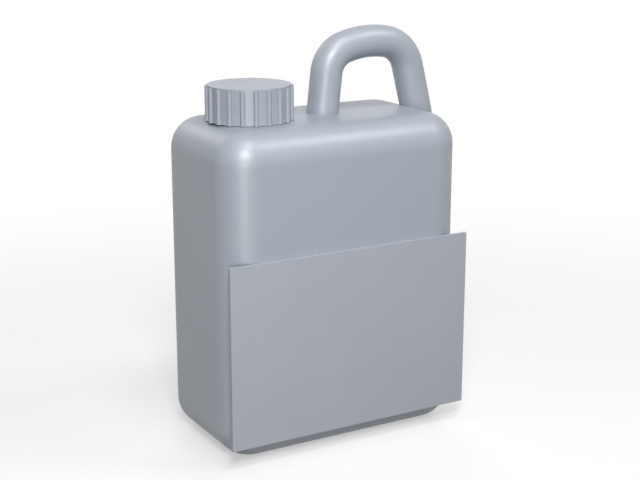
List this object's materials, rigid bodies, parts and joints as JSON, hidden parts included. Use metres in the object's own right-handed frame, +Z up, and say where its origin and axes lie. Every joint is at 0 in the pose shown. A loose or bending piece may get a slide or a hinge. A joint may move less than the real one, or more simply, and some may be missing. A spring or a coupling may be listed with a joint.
{
  "type": "coolant jug",
  "caption": "Rectangular blow-moulded jug with rounded edges, an arched hollow handle on its top, a ribbed screw cap and a flat bare label panel on its front.",
  "frame": {"origin": "middle of the base, on the surface that the jug stands on", "axes": "+Z up, +X from the cap's side towards the handle's side, -Y towards the label side"},
  "size_m": [0.1964, 0.1125, 0.2931],
  "materials": {
    "body_plastic": "satin blow-moulded polyethylene, blue-grey",
    "cap_plastic": "satin injection-moulded polypropylene, pale blue-grey",
    "liner_foam": "matt foamed polyethylene sheet, off-white",
    "label_stock": "matt plastic plate, bare, blue-grey"
  },
  "bodies": {
    "jug": {"jug_body": "body_plastic", "label_panel": "label_stock"},
    "liner": {"cap_liner": "liner_foam"},
    "cap": {"cap": "cap_plastic"}
  },
  "joints": [
    {"name": "cap_lift", "type": "slide", "parent": "jug", "child": "liner", "axis": [0, 0, 1], "range_m": [0, 0.011]},
    {"name": "cap_turn", "type": "hinge", "parent": "liner", "child": "cap", "pos_m": [-0.05085, 0, 0.245], "axis": [0, 0, 1], "range_deg": [0, 792]}
  ],
  "couplings": [
    {"joint": "cap_lift", "follows": "cap_turn", "m_per_rad": 0.00079577}
  ]
}
